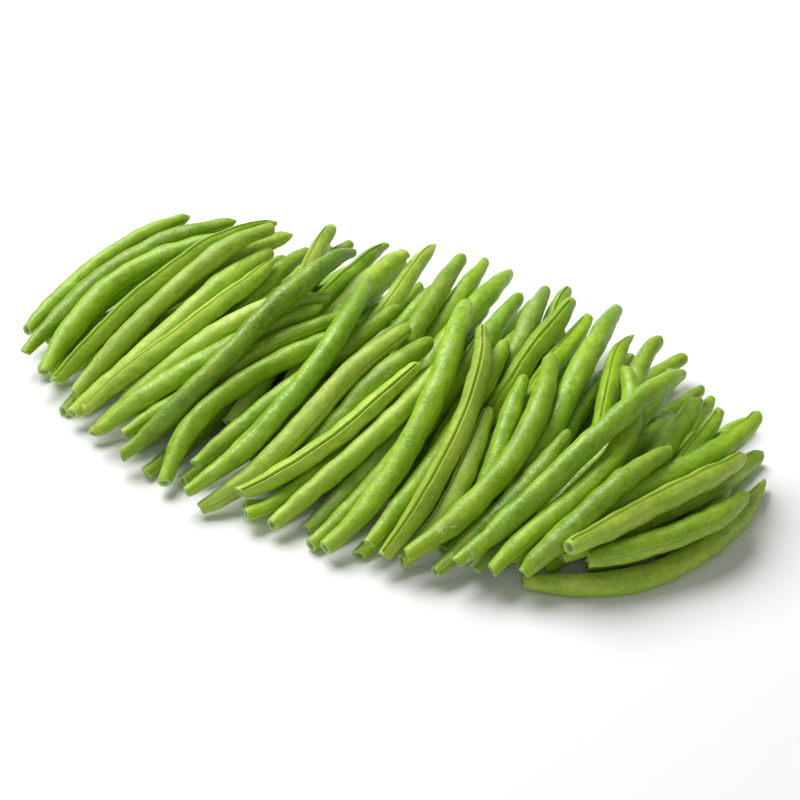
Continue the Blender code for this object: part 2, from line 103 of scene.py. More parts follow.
# Pods on top, in the same terms
topPods = (
    (-160, -33, -136, 60, -5, 8.2, "slope", "green", "smooth"),
    (-151, -46, -110, 62, -11, 8.4, "slope", "green", "seedy"),
    (-76, -34, -104, 70, 0, 7.2, "rear", "green", "smooth"),
    (-50, -45, -67, 70, 2, 8.6, "rear", "pale", "ridged"),
    (-28, -40, -26, 71, -6, 9.4, "rear", "pale", "ridged"),
    (2, -30, -5, 84, 2, 8.6, "rear", "bright", "smooth"),
    (22, -35, 28, 75, 4, 9.2, "rear", "dark", "smooth"),
    (48, -30, 40, 78, 3, 8.2, "rear", "dusky", "smooth"),
    (46, -40, 56, 70, 2, 9.0, "rear", "bright", "ridged"),
    (72, -40, 71, 80, 4, 9.4, "rear", "dark", "smooth"),
    (96, -45, 92, 71, 4, 9.0, "rear", "bright", "smooth"),
    (-12, -20, -24, 92, 1, 7.6, "rear", "pale", "pointed"),
    (-2, -20, 3, 92, 6, 7.8, "rear", "bright", "smooth"),
    (2, -30, 17, 90, 4, 9.2, "rear", "green", "smooth"),
    (50, -45, 61, 69, 5, 8.8, "rear", "bright", "ridged"),
    (100, -60, 124, 39, 5, 9.8, "rear", "bright", "smooth"),
    (-138, -46, -78, 60, 4, 8.4, "rising", "pale", "ridged"),
    (-115, -58, -85, 50, -4, 8.4, "slope", "pale", "smooth"),
    (-126, -57, -80, 55, -4, 7.8, "slope", "bright", "ridged"),
    (-134, -54, -96, 50, -19, 9.2, "slope", "bright", "seedy"),
    (-111, -67, -79, 43, 4, 8.6, "slope", "pale", "smooth"),
    (-103, -66, -75, 37, 8, 7.8, "slope", "pale", "pointed"),
    (-86, -68, -22, 22, -2, 7.4, "tucked", "bright", "smooth"),
    (-91, -72, -30, 15, -6, 8.6, "tucked", "green", "seedy"),
    (-99, -71, -28, 15, -9, 7.8, "tucked", "pale", "ridged"),
    (-56, -82, -14, 16, -12, 9.0, "slope", "green", "smooth"),
    (-47, -72, -4, 30, 2, 7.6, "tucked", "bright", "smooth"),
    (-27, -62, -11, 22, 8, 8.2, "tucked", "dusky", "seedy"),
    (-32, -89, 6, 15, 5, 8.8, "slope", "pale", "smooth"),
    (-25, -77, 24, 0, 6, 8.4, "slope", "pale", "ridged"),
    (-9, -83, 30, 14, 2, 8.6, "slope", "pale", "smooth"),
    (-18, -62, 21, 12, 3, 9.4, "slope", "green", "smooth"),
    (14, -84, 36, 28, 3, 8.6, "slope", "bright", "smooth"),
    (38, -79, 36, 30, 7, 8.4, "slope", "bright", "smooth"),
    (50, -77, 56, -7, 8, 8.0, "slope", "pale", "ridged"),
    (70, -62, 57, 12, -3, 8.2, "slope", "dark", "smooth"),
    (64, -77, 85, -5, 5, 8.4, "slope", "dark", "seedy"),
    (84, -71, 95, 31, 20, 8.8, "slope", "bright", "smooth"),
    (102, -50, 147, 46, 7, 8.6, "rising", "green", "ridged"),
    (97, -67, 127, 0, 0, 8.8, "slope", "green", "seedy"),
    (88, -51, 157, 34, 23, 8.8, "floor", "pale", "pointed"),
    (100, -52, 154, 34, 5, 9.2, "rising", "bright", "smooth"),
    (110, -47, 157, 7, 9, 9.2, "slope", "green", "smooth"),
    (99, -52, 152, 18, 6, 8.4, "slope", "pale", "ridged"),
    (-76, -80, -40, 48, 5, 9.2, "hero", "dark", "seedy"),
    (-38, -88, -26, 37, 14, 9.0, "hero", "dark", "seedy"),
    (22, -85, 18, 40, 14, 9.2, "hero", "green", "smooth"),
    (46, -81, 34, 24, 14, 8.8, "hero", "pale", "ridged"),
    (56, -79, 65, 27, 15, 8.8, "hero", "bright", "smooth"),
    (72, -76, 118, 39, 4, 9.0, "hero", "dark", "seedy"),
)

# Rows of pods at the bottom: spacing, height, front y, back y, reach in x
bed = {
    "rows": ((10.0, 4.3, -48, 84, 142), (17.0, 12.0, -30, 90, 115)),
    "seed": 7, "girth": (7.8, 8.8), "halfLength": 58.0, "endX": 170.0,
    "stagger": (-6, 8), "lean": (12.0, 0.06, 6.0), "bow": 4.0,
}

# How the pods are eased apart, as smooth bends of each pod
easing = {
    "samples": 49, "bends": 4, "spans": 6, "sides": 8, "reach": 3.0, "refresh": 20,
    "touching": 0.02, "digits": 4, "keepPlace": 0.02, "keepBend": 0.06, "keptBends": 2,
    "floorEase": 0.5,
    "spreading": {"rounds": 150, "ease": 0.35, "settle": 0.0, "rise": 0.02},
    "settling": {"rounds": 220, "ease": 0.35, "settle": 0.01, "rise": 0.01},
    "clearing": {"rounds": 900, "ease": 0.45},
}
share = np.linspace(0.0, 1.0, easing["samples"])
basis, _ = np.linalg.qr(np.stack([(2 * share - 1) ** k for k in range(easing["bends"])], 1))


def crownHeight(x, y):
    across = np.interp(y, heap["crownY"], heap["crownZ"])
    along = np.clip(1 - (np.abs(x) / heap["reach"]) ** heap["shoulder"], heap["lowest"], 1)
    return across * np.sqrt(along)


def endTaper(along, taper):
    narrow, length = taper
    return narrow + (1 - narrow) * np.sin(np.clip(along / length, 0, 1) * math.pi / 2)


def podRadii(girth):
    front = endTaper(share, heap["frontTaper"])
    return girth / 2 * front * endTaper(1 - share, heap["backTaper"])


def podPlan(x0, y0, x1, y1, bow):
    chord = np.array([x1 - x0, y1 - y0], float)
    sideways = np.array([chord[1], -chord[0]]) / np.hypot(*chord)
    arch = 4 * share * (1 - share)
    return np.array([x0, y0]) + chord * share[:, None] + sideways * (bow * arch)[:, None]


def placedPod(row):
    x0, y0, x1, y1, bow, girth, lie, tone, look = row
    plan = podPlan(x0, y0, x1, y1, bow)
    front, back = lies[lie]
    depth = (front + (back - front) * share) * heap["layerDepth"]
    height = crownHeight(plan[:, 0], plan[:, 1]) - girth / 2 - depth
    smooth = basis @ (basis.T @ np.maximum(height, girth / 2))
    return np.column_stack([plan, smooth]), podRadii(girth)


def bedPods():
    draw = np.random.default_rng(bed["seed"])
    pods = []
    for pitch, height, frontY, backY, reach in bed["rows"]:
        x = -float(reach)
        while x < reach:
            girth = draw.uniform(*bed["girth"])
            room = 0.5 * (backY - frontY) * math.sqrt(1 - (x / bed["endX"]) ** 2)
            half = min(bed["halfLength"], room)
            middle = 0.5 * (frontY + backY) + bed["stagger"][len(pods) % 2]
            lean, growth, spread = bed["lean"]
            lean = lean + growth * x + draw.uniform(-spread, spread)
            bow = draw.uniform(-bed["bow"], bed["bow"])
            plan = podPlan(x - lean / 2, middle - half, x + lean / 2, middle + half, bow)
            line = np.column_stack([plan, np.full(easing["samples"], height)])
            pods.append((line, podRadii(girth)))
            x += pitch
    return pods


def straightRuns(rings):
    rows = np.zeros((easing["samples"], easing["samples"]))
    for first, last in zip(rings[:-1], rings[1:]):
        for sample in range(first, last + 1):
            along = (sample - first) / (last - first)
            rows[sample] = 0
            rows[sample, first] = 1 - along
            rows[sample, last] += along
    return rows


class Heap:
    def __init__(self, pods, rings, handful):
        self.lines = np.array([line for line, _ in pods])
        self.radii = np.array([radii for _, radii in pods])
        self.start = self.lines.copy()
        self.handful = handful
        self.links = []
        kinds = {kind: straightRuns(kind) for kind in set(rings)}
        self.runs = np.array([kinds[kind] for kind in rings])
        self.bends = self.runs @ basis
        self.give = (self.bends ** 2).sum(-1)

    def findNear(self):  # pairs of samples on different pods that could meet
        tubes = self.runs @ self.lines
        low = tubes.min(1) - self.radii.max(1)[:, None]
        high = tubes.max(1) + self.radii.max(1)[:, None]
        reach, samples, spans = easing["reach"], easing["samples"], easing["spans"]
        found = []
        for pod in range(len(tubes) - 1):
            meets = (low[pod + 1:] < high[pod] + reach) & (high[pod + 1:] > low[pod] - reach)
            others = np.where(meets.all(axis=1))[0] + pod + 1
            if not len(others):
                continue
            apart = tubes[pod][:, None, None, :] - tubes[others][None]
            limit = self.radii[pod][:, None, None] + self.radii[others][None] + heap["gap"] + reach
            here, which, there = np.where((apart ** 2).sum(-1) < limit ** 2)
            found.append(np.column_stack([np.full(len(here), pod), here, others[which], there]))
        one, here, two, there = np.concatenate(found).T
        self.near = one, here, two, there
        same = self.handful[one] == self.handful[two]
        apart = np.where(same, -heap["fusedSink"], heap["gap"])
        self.reach = self.radii[one, here] + self.radii[two, there] + apart
        self.spans = (one * len(tubes) + two) * spans + (here * spans) // samples

    def closest(self, tubes, one, two):
        apart = np.sqrt(((tubes[one][:, None] - tubes[two][None]) ** 2).sum(-1))
        clear = apart - self.radii[one][:, None] - self.radii[two][None]
        here, there = np.unravel_index(clear.argmin(), clear.shape)
        return here, there, clear[here, there], apart[here, there]

    def pushApart(self, ease):
        tubes = self.runs @ self.lines
        one, here, two, there = self.near
        gap = tubes[one, here] - tubes[two, there]
        distance = np.sqrt((gap ** 2).sum(1)) + 1e-9
        crossing = self.reach - distance
        hits = np.where(crossing > 0)[0]
        worst = crossing[hits].max() if len(hits) else 0.0
        hits = hits[np.lexsort((-crossing[hits], self.spans[hits]))]
        hits = hits[np.r_[True, self.spans[hits][1:] != self.spans[hits][:-1]][:len(hits)]]
        one, here, two, there = one[hits], here[hits], two[hits], there[hits]
        push = crossing[hits] / (self.give[one, here] + self.give[two, there])
        force = (push / distance[hits])[:, None] * gap[hits]
        change = np.zeros((len(tubes), easing["bends"], 3))
        np.add.at(change, one, self.bends[one, here][:, :, None] * force[:, None, :])
        np.add.at(change, two, -self.bends[two, there][:, :, None] * force[:, None, :])
        for one, two in self.links:
            here, there, clear, apart = self.closest(tubes, one, two)
            loose = clear + heap["fusedSink"]
            if loose > 0:
                pull = (tubes[two][there] - tubes[one][here]) / apart
                pull = pull * loose / (self.give[one, here] + self.give[two, there])
                change[one] += self.bends[one, here][:, None] * pull
                change[two] -= self.bends[two, there][:, None] * pull
        self.lines += ease * (basis @ change)
        return worst

    def liftOffFloor(self):
        tubes = self.runs @ self.lines
        below = self.radii * math.cos(math.pi / easing["sides"]) - tubes[:, :, 2]
        half = easing["samples"] // 2
        for part in (slice(0, half), slice(half, easing["samples"])):
            lowest = below[:, part].argmax(1) + part.start
            depth = below[:, part].max(1)
            sunk = np.where(depth > 0)[0]
            lowest = lowest[sunk]
            lift = self.bends[sunk, lowest] * (depth[sunk] / self.give[sunk, lowest])[:, None]
            self.lines[sunk, :, 2] += easing["floorEase"] * (basis @ lift.T).T

    def hold(self, settle, rise):  # pods sink a little, and keep near their own place and bend
        self.lines[:, :, 2] -= settle
        off = self.start - self.lines
        self.lines[:, :, :2] += easing["keepPlace"] * off[:, :, :2]
        self.lines[:, :, 2] += rise * off[:, :, 2]
        curved = basis[:, easing["keptBends"]:]
        self.lines += easing["keepBend"] * (curved @ (curved.T @ off))

    def settleIn(self, rounds, ease, settle, rise):
        for turn in range(rounds):
            if turn % easing["refresh"] == 0:
                self.findNear()
            self.pushApart(ease)
            self.liftOffFloor()
            self.hold(settle, rise)
            self.lines = np.round(self.lines, easing["digits"])

    def clearAll(self, rounds, ease):
        for turn in range(rounds):
            if turn % easing["refresh"] == 0:
                self.findNear()
            worst = self.pushApart(ease)
            self.liftOffFloor()
            self.lines = np.round(self.lines, easing["digits"])
            if worst < easing["touching"]:
                break
        print("pods laid in", turn, "rounds")

    def linkHandfuls(self):  # a tree of nearest mates keeps each handful one body
        tubes = self.runs @ self.lines
        for number in range(heap["handfuls"]):
            loose = list(np.where(self.handful == number)[0])
            joined = [loose.pop(0)]
            while loose:
                _, one, two = min((self.closest(tubes, one, two)[2], one, two)
                                  for one in joined for two in loose)
                self.links.append((one, two))
                joined.append(two)
                loose.remove(two)


def layHeap():
    bottom = bedPods()
    pods = bottom + [placedPod(row) for row in lowerPods + topPods]
    fused = len(bottom) + len(lowerPods)
    rings = [heap["bedRings"]] * len(bottom) + [heap["lowerRings"]] * len(lowerPods)
    rings += [heap["topRings"]] * len(topPods)
    handful = np.arange(len(pods)) + heap["handfuls"]
    middles = np.array([line[:, 0].mean() for line, _ in pods[:fused]])
    handful[np.argsort(middles, kind="stable")] = np.arange(fused) * heap["handfuls"] // fused
    laid = Heap(pods, rings, handful)
    for pod, row in enumerate(topPods):  # the pods that lie across others start above them
        if row[6] == "hero":
            laid.lines[fused + pod, :, 2] += heap["heroDrop"]
    laid.settleIn(**easing["spreading"])
    laid.linkHandfuls()
    laid.settleIn(**easing["settling"])
    laid.clearAll(**easing["clearing"])
    laid.lines -= heap["middle"]
    return laid, len(bottom), fused


# Small helpers for working as by hand

def deselectAll():
    if bpy.context.object and bpy.context.object.mode != "OBJECT":
        bpy.ops.object.mode_set(mode="OBJECT")
    bpy.ops.object.select_all(action="DESELECT")


def makeActive(thing):
    deselectAll()
    thing.select_set(True)
    bpy.context.view_layer.objects.active = thing


def pickVerts(thing, chosen):  # in edit mode, select the chosen points and nothing else
    bm = bmesh.from_edit_mesh(thing.data)
    for vert in bm.verts:
        vert.select = vert.index in chosen
    bm.select_flush_mode()
    bmesh.update_edit_mesh(thing.data)


def readSpots(mesh):
    spots = np.zeros(len(mesh.vertices) * 3)
    mesh.vertices.foreach_get("co", spots)
    return spots.reshape(-1, 3)


def writeAttribute(mesh, name, kind, values):
    layer = mesh.attributes.new(name, kind, "POINT")
    layer.data.foreach_set("vector" if kind == "FLOAT_VECTOR" else "value",
                           np.asarray(values, np.float32).ravel())


# The pods that all others are copied from: one unit long, one unit in radius, along +X

podLooks = {
    "smooth": {"front": (0.62, 0.28), "rear": (0.58, 0.3), "seeds": 9, "swell": 0.07, "groove": 0.02,
               "lips": 0.012, "seed": 3},
    "seedy": {"front": (0.58, 0.3), "rear": (0.5, 0.36), "seeds": 8, "swell": 0.14, "groove": 0.03,
              "lips": 0.02, "seed": 5},
    "ridged": {"front": (0.64, 0.25), "rear": (0.52, 0.32), "seeds": 8, "swell": 0.07, "groove": 0.16,
               "lips": 0.06, "seed": 11},
    "pointed": {"front": (0.6, 0.3), "rear": (0.6, 0.3), "seeds": 10, "swell": 0.07, "groove": 0.1,
                "lips": 0.04, "seed": 17},
}
podBacks = {  # how the back end closes: over what share of the length, to what share of the width
    "cut": {"over": 0.02, "down": 0.06, "power": 2.0},
    "round": {"over": 0.045, "down": 0.62, "power": 2.6},
    "point": {"over": 0.12, "down": 0.72, "power": 1.7},
}
seedPlan = {"shift": 0.22, "sizes": (0.35, 1.0), "width": 0.42, "level": 0.6}
podMesh = {
    "sides": 32, "rings": 100, "coarseSides": 16, "coarseRings": 36, "crowding": 0.6,
    "capNear": 1e-4, "bevel": 0.09, "bulge": 0.003, "rim": 0.2, "wall": 0.2, "sink": 0.004,
    "core": 0.22, "coreRise": 0.0025, "seamFrom": 3, "seamTo": 8, "rimRings": 2, "rimTorn": 0.6,
}


def swelling(along, look):
    draw = np.random.default_rng(look["seed"])
    seeds = look["seeds"]
    shifts = draw.uniform(-seedPlan["shift"], seedPlan["shift"], seeds)
    places = (np.arange(seeds) + 0.5 + shifts) / seeds
    sizes = draw.uniform(*seedPlan["sizes"], seeds)
    return float((sizes * np.exp(-((along - places) * seeds / seedPlan["width"]) ** 2)).sum())


def podWidth(along, look, back):
    front = endTaper(along, look["front"])
    rear = endTaper(1 - along, look["rear"])
    close = max(0.0, (along - 1 + back["over"]) / back["over"]) ** back["power"]
    swell = 1 + look["swell"] * (swelling(along, look) - seedPlan["level"])
    return front * rear * swell * (1 - back["down"] * close)


def closeEnds(pod, back):  # a rounded rim and a sunken middle, or a plain cap on a rounded back end
    bpy.ops.mesh.select_mode(type="FACE")
    for end, outward in ((0.0, -1), (1.0, 1)):
        bpy.ops.mesh.select_all(action="DESELECT")
        bm = bmesh.from_edit_mesh(pod.data)
        for face in bm.faces:
            atEnd = abs(face.calc_center_median().x - end) < podMesh["capNear"]
            face.select = len(face.verts) > 4 and atEnd
        bmesh.update_edit_mesh(pod.data)
        bpy.ops.mesh.inset(thickness=podMesh["bevel"])
        bpy.ops.transform.translate(value=(outward * podMesh["bulge"], 0, 0))
        if outward < 0 or back == "cut":
            bpy.ops.mesh.inset(thickness=podMesh["rim"])
            bpy.ops.mesh.inset(thickness=podMesh["wall"])
            bpy.ops.transform.translate(value=(-outward * podMesh["sink"], 0, 0))
            bpy.ops.mesh.inset(thickness=podMesh["core"])
            bpy.ops.transform.translate(value=(outward * podMesh["coreRise"], 0, 0))
        bpy.ops.mesh.poke()
    bpy.ops.mesh.select_mode(type="VERT")


def modelPod(name, lookName, backName, sides, rings):
    look, back = podLooks[lookName], podBacks[backName]
    deselectAll()
    bpy.ops.mesh.primitive_cylinder_add(vertices=sides, radius=1, depth=1, end_fill_type="NGON",
                                        location=(0.5, 0, 0), rotation=(0, math.pi / 2, 0))
    pod = bpy.context.object
    pod.name = name
    bpy.ops.object.transform_apply(location=True, rotation=True, scale=True)
    bpy.ops.object.mode_set(mode="EDIT")
    bpy.ops.mesh.select_mode(type="EDGE")
    bpy.ops.mesh.select_all(action="DESELECT")
    bm = bmesh.from_edit_mesh(pod.data)
    for edge in bm.edges:  # the lengthwise edges
        edge.select = abs(edge.verts[0].co.x - edge.verts[1].co.x) > 0.5
    bmesh.update_edit_mesh(pod.data)
    bpy.ops.mesh.subdivide(number_cuts=rings - 1)
    closeEnds(pod, backName)
    bm = bmesh.from_edit_mesh(pod.data)
    spots = np.array([vert.co for vert in bm.verts])
    caps = np.hypot(spots[:, 1], spots[:, 2]) < 1 - podMesh["bevel"] / 2
    ringOf = np.where(caps, np.where(spots[:, 0] < 0.5, 0, rings), np.round(spots[:, 0] * rings))
    lineOf = np.round(np.arctan2(spots[:, 2], spots[:, 1]) * sides / (2 * math.pi)) % sides
    for ring in range(rings + 1):  # rings crowd towards the ends, and each has its own width
        along = ring / rings
        crowded = along - podMesh["crowding"] * math.sin(2 * math.pi * along) / (2 * math.pi)
        width = podWidth(crowded, look, back)
        pickVerts(pod, set(np.where(ringOf == ring)[0].tolist()))
        bpy.ops.transform.resize(value=(1, width, width), center_override=(along, 0, 0))
        bpy.ops.transform.translate(value=(crowded - along, 0, 0))
    seam = ~caps & (ringOf >= podMesh["seamFrom"]) & (ringOf <= rings - podMesh["seamTo"])
    for middle in (sides // 4, 3 * sides // 4):  # the seam on the back and the one on the belly
        for offset, depth in ((0, -look["groove"]), (1, look["lips"]), (2, look["lips"] / 2)):
            for line in {middle + offset, middle - offset}:
                angle = 2 * math.pi * line / sides
                pickVerts(pod, set(np.where(seam & (lineOf == line))[0].tolist()))
                bpy.ops.transform.translate(value=(0, math.cos(angle) * depth, math.sin(angle) * depth))
    bpy.ops.object.mode_set(mode="OBJECT")
    spots = readSpots(pod.data)
    rim = ~caps & ((ringOf < podMesh["rimRings"]) | (ringOf > rings - podMesh["rimRings"]))
    torn = pod.vertex_groups.new(name="ends")
    torn.add(np.where(caps)[0].tolist(), 1.0, "REPLACE")
    torn.add(np.where(rim)[0].tolist(), podMesh["rimTorn"], "REPLACE")
    radial = np.hypot(spots[:, 1], spots[:, 2])
    openEnd = caps & ((spots[:, 0] < 0.5) | (backName == "cut"))
    endWidth = np.where(spots[:, 0] < 0.5, podWidth(0, look, back), podWidth(1, look, back))
    writeAttribute(pod.data, "podEnds", "FLOAT_VECTOR",
                   np.column_stack([spots[:, 0], openEnd, radial / endWidth]))
    writeAttribute(pod.data, "podPlace", "FLOAT_VECTOR", spots)
    return pod


# Bending a copy of a pod along its line

podShape = {
    "seed": 20, "ownSeeds": (0, 500), "leanSeeds": 100, "grow": 1.05, "oval": (0.95, 1.06),
    "seamUp": 0.5, "seamAside": (1.1, 2.0), "slant": (0.1, 0.55), "slantReach": 2.5,
    "cutBacks": 0.45, "smoothing": 64, "sharp": 40,
}
lumpKinds = {  # strength in millimetres, size in metres, depth
    "wobble": (1.5, 0.028, 0),
    "uneven": (1.25, 0.011, 1),
    "torn": (0.9, 0.0022, 1),
}
bernstein = np.stack([math.comb(3, k) * share ** k * (1 - share) ** (3 - k)
                      for k in range(4)], 1)


def makeClouds(name, size, depth):
    clouds = bpy.data.textures.new(name, "CLOUDS")
    clouds.noise_scale = size
    clouds.noise_depth = depth
    clouds.cloud_type = "COLOR" if name == "wobble" else "GRAYSCALE"
    return clouds


lumps = {name: (strength, makeClouds(name, size, depth))
         for name, (strength, size, depth) in lumpKinds.items()}


def makeGuide(line):  # the line is one smooth cubic bend, so one span of a Bezier curve is enough
    corners = np.linalg.lstsq(bernstein, line, rcond=None)[0] * mm
    deselectAll()
    bpy.ops.curve.primitive_bezier_curve_add(location=(0, 0, 0))
    guide = bpy.context.object
    guide.data.dimensions = "3D"
    guide.data.twist_mode = "Z_UP"
    guide.data.resolution_u = podShape["smoothing"]
    guide.data.use_stretch = True
    guide.data.use_deform_bounds = True
    first, last = guide.data.splines[0].bezier_points
    for point in (first, last):
        point.handle_left_type = point.handle_right_type = "FREE"
    first.co, first.handle_right = corners[0], corners[1]
    first.handle_left = 2 * corners[0] - corners[1]
    last.co, last.handle_left = corners[3], corners[2]
    last.handle_right = 2 * corners[3] - corners[2]
    return guide


def bendPod(name, master, line, girth, roll, oval, seed):
    length = np.sqrt((np.diff(line, axis=0) ** 2).sum(1)).sum() * mm
    pod = master.copy()
    pod.data = master.data.copy()
    pod.name = name
    bpy.context.scene.collection.objects.link(pod)
    place = readSpots(pod.data) * (length / mm, girth / 2, girth / 2)
    pod.data.attributes["podPlace"].data.foreach_set("vector", place.astype(np.float32).ravel())
    writeAttribute(pod.data, "podSeed", "FLOAT", np.full(len(place), seed))
    makeActive(pod)
    radius = girth / 2 * mm
    pod.scale = (length, radius * oval, radius / oval)
    bpy.ops.object.transform_apply(location=False, rotation=False, scale=True)
    cutAslant(pod, length, seed)
    pod.rotation_euler = (roll, 0, 0)
    bpy.ops.object.transform_apply(location=False, rotation=True, scale=False)
    guide = makeGuide(line)
    makeActive(pod)
    bend = pod.modifiers.new("Bend", "CURVE")
    bend.object = guide
    bend.deform_axis = "POS_X"
    bpy.ops.object.modifier_apply(modifier=bend.name)
    for kind, (strength, clouds) in lumps.items():
        lump = pod.modifiers.new(kind, "DISPLACE")
        lump.texture = clouds
        lump.strength = strength * mm
        lump.mid_level = 0.5
        lump.vertex_group = "ends" if kind == "torn" else ""
        lump.direction = "RGB_TO_XYZ" if kind == "wobble" else "NORMAL"
        bpy.ops.object.modifier_apply(modifier=lump.name)
    bpy.data.objects.remove(guide, do_unlink=True)
    pressOnFloor(pod)
    bpy.ops.object.shade_smooth_by_angle(angle=math.radians(podShape["sharp"]))
    return pod


def moveSpots(pod, spots):
    pod.data.vertices.foreach_set("co", spots.ravel())
    pod.data.update()


def cutAslant(pod, length, seed):  # lean both ends, each its own way
    lean = np.random.default_rng(int(seed * podShape["leanSeeds"]))
    spots = readSpots(pod.data)
    start = spots.copy()
    for end in (0.0, length):
        turn, slope = lean.uniform(0, 2 * math.pi), lean.uniform(*podShape["slant"])
        nearness = np.exp(-np.abs(start[:, 0] - end) / (podShape["slantReach"] * mm))
        spots[:, 0] += slope * nearness * (start[:, 1] * math.cos(turn) + start[:, 2] * math.sin(turn))
    moveSpots(pod, spots)


def pressOnFloor(pod):
    spots = readSpots(pod.data)
    spots[:, 2] = np.maximum(spots[:, 2], 0.0)
    moveSpots(pod, spots)


# Skin: mottling, fibres along the pod, fine striping across it with painted highlight on the stripes,
# painted frosted sheen in pale specks, seams with painted shade in their grooves, scars and cut ends

def addNode(tree, kind, at, **values):
    node = tree.nodes.new(kind)
    node.location = at
    for name, value in values.items():
        if hasattr(node, name):
            setattr(node, name, value)
        else:
            node.inputs[name.replace("_", " ")].default_value = value
    return node


def feed(tree, socket, value):  # a socket takes a number, a colour or another node's output
    if isinstance(value, bpy.types.NodeSocket):
        tree.links.new(value, socket)
    elif isinstance(value, tuple) and len(value) == 3 and socket.type == "RGBA":
        socket.default_value = (*value, 1.0)
    else:
        socket.default_value = value


def mathNode(tree, operation, at, *values):
    node = addNode(tree, "ShaderNodeMath", at, operation=operation)
    for socket, value in zip(node.inputs, values):
        feed(tree, socket, value)
    return node.outputs[0]


def mixColour(tree, at, factor, one, two, blend="MIX"):
    node = addNode(tree, "ShaderNodeMix", at, data_type="RGBA", blend_type=blend)
    for socket, value in ((node.inputs[0], factor), (node.inputs[6], one), (node.inputs[7], two)):
        feed(tree, socket, value)
    return node.outputs[2]


def streakNoise(tree, at, place, seed, stretch, detail):
    scaled = addNode(tree, "ShaderNodeVectorMath", at, operation="MULTIPLY")
    feed(tree, scaled.inputs[0], place)
    feed(tree, scaled.inputs[1], stretch)
    noise = addNode(tree, "ShaderNodeTexNoise", (at[0] + 180, at[1]), noise_dimensions="4D",
                    Scale=1.0, Detail=detail, Roughness=noiseRoughness)
    feed(tree, noise.inputs["Vector"], scaled.outputs[0])
    feed(tree, noise.inputs["W"], seed)
    return noise.outputs["Fac"]


def ramp(tree, at, value, low, high, toLow=0.0, toHigh=1.0):
    node = addNode(tree, "ShaderNodeMapRange", at, interpolation_type="SMOOTHSTEP")
    for socket, number in zip(node.inputs, (value, low, high, toLow, toHigh)):
        feed(tree, socket, number)
    return node.outputs[0]


noiseRoughness = 0.55
skinNoises = {  # how fine each is per millimetre: along the pod, across it, in depth; and its detail
    "mottle": ((0.06, 0.16, 0.16), 2.0),
    "patches": ((0.3, 0.45, 0.45), 3.0),
    "fibres": ((0.035, 1.5, 1.5), 2.0),
    "stripes": ((1.25, 0.55, 0.55), 2.0),
    "specks": ((1.15, 1.15, 1.15), 2.0),
    "scars": ((0.11, 0.2, 0.2), 1.0),
}
skinRamps = {  # from which value to which, and what it gives there where that isn't 0 and 1
    "mottle": (0.34, 0.68), "patches": (0.3, 0.7, 0.84, 1.16), "fibres": (0.48, 0.72),
    # the specks ramp sets how much painted frosted sheen the pale specks give, standing in for
    # highlights
    "stripes": (0.46, 0.66), "paintedSheen": (0.5, 0.74, 0.0, 0.3), "scars": (0.70, 0.74),
    "scarSpecks": (0.5, 0.6), "groove": (0.15, 0.55, 1.0, 0.0), "lips": (0.5, 1.7, 1.0, 0.0),
    "front": (0.0, 0.1, 0.45, 0.0), "rim": (0.35, 0.72), "tones": (0.0, 1.0, 0.8, 1.2),
}
skinMarks = {
    # the groove colour is painted shade for the seam grooves
    "scar": (0.60, 0.62, 0.30), "rim": (0.40, 0.58, 0.13), "core": (0.15, 0.27, 0.03),
    "groove": (0.03, 0.09, 0.005), "groovePaintedShade": 0.4, "lipsPale": 0.6,
    # the speck colour is a painted frosted sheen, standing in for highlights
    # the stripe paleness is a painted highlight on the cross wrinkles
    "stripePaintedHighlight": 0.28, "paintedSheenColour": (0.50, 0.62, 0.20), "frontRibs": 2.0,
    "stripeHeight": 0.09, "fibreHeight": 0.09, "patchHeight": 0.16, "grooveHeight": 0.1,
    "stripeRough": 0.18, "cutRough": 0.2,
}


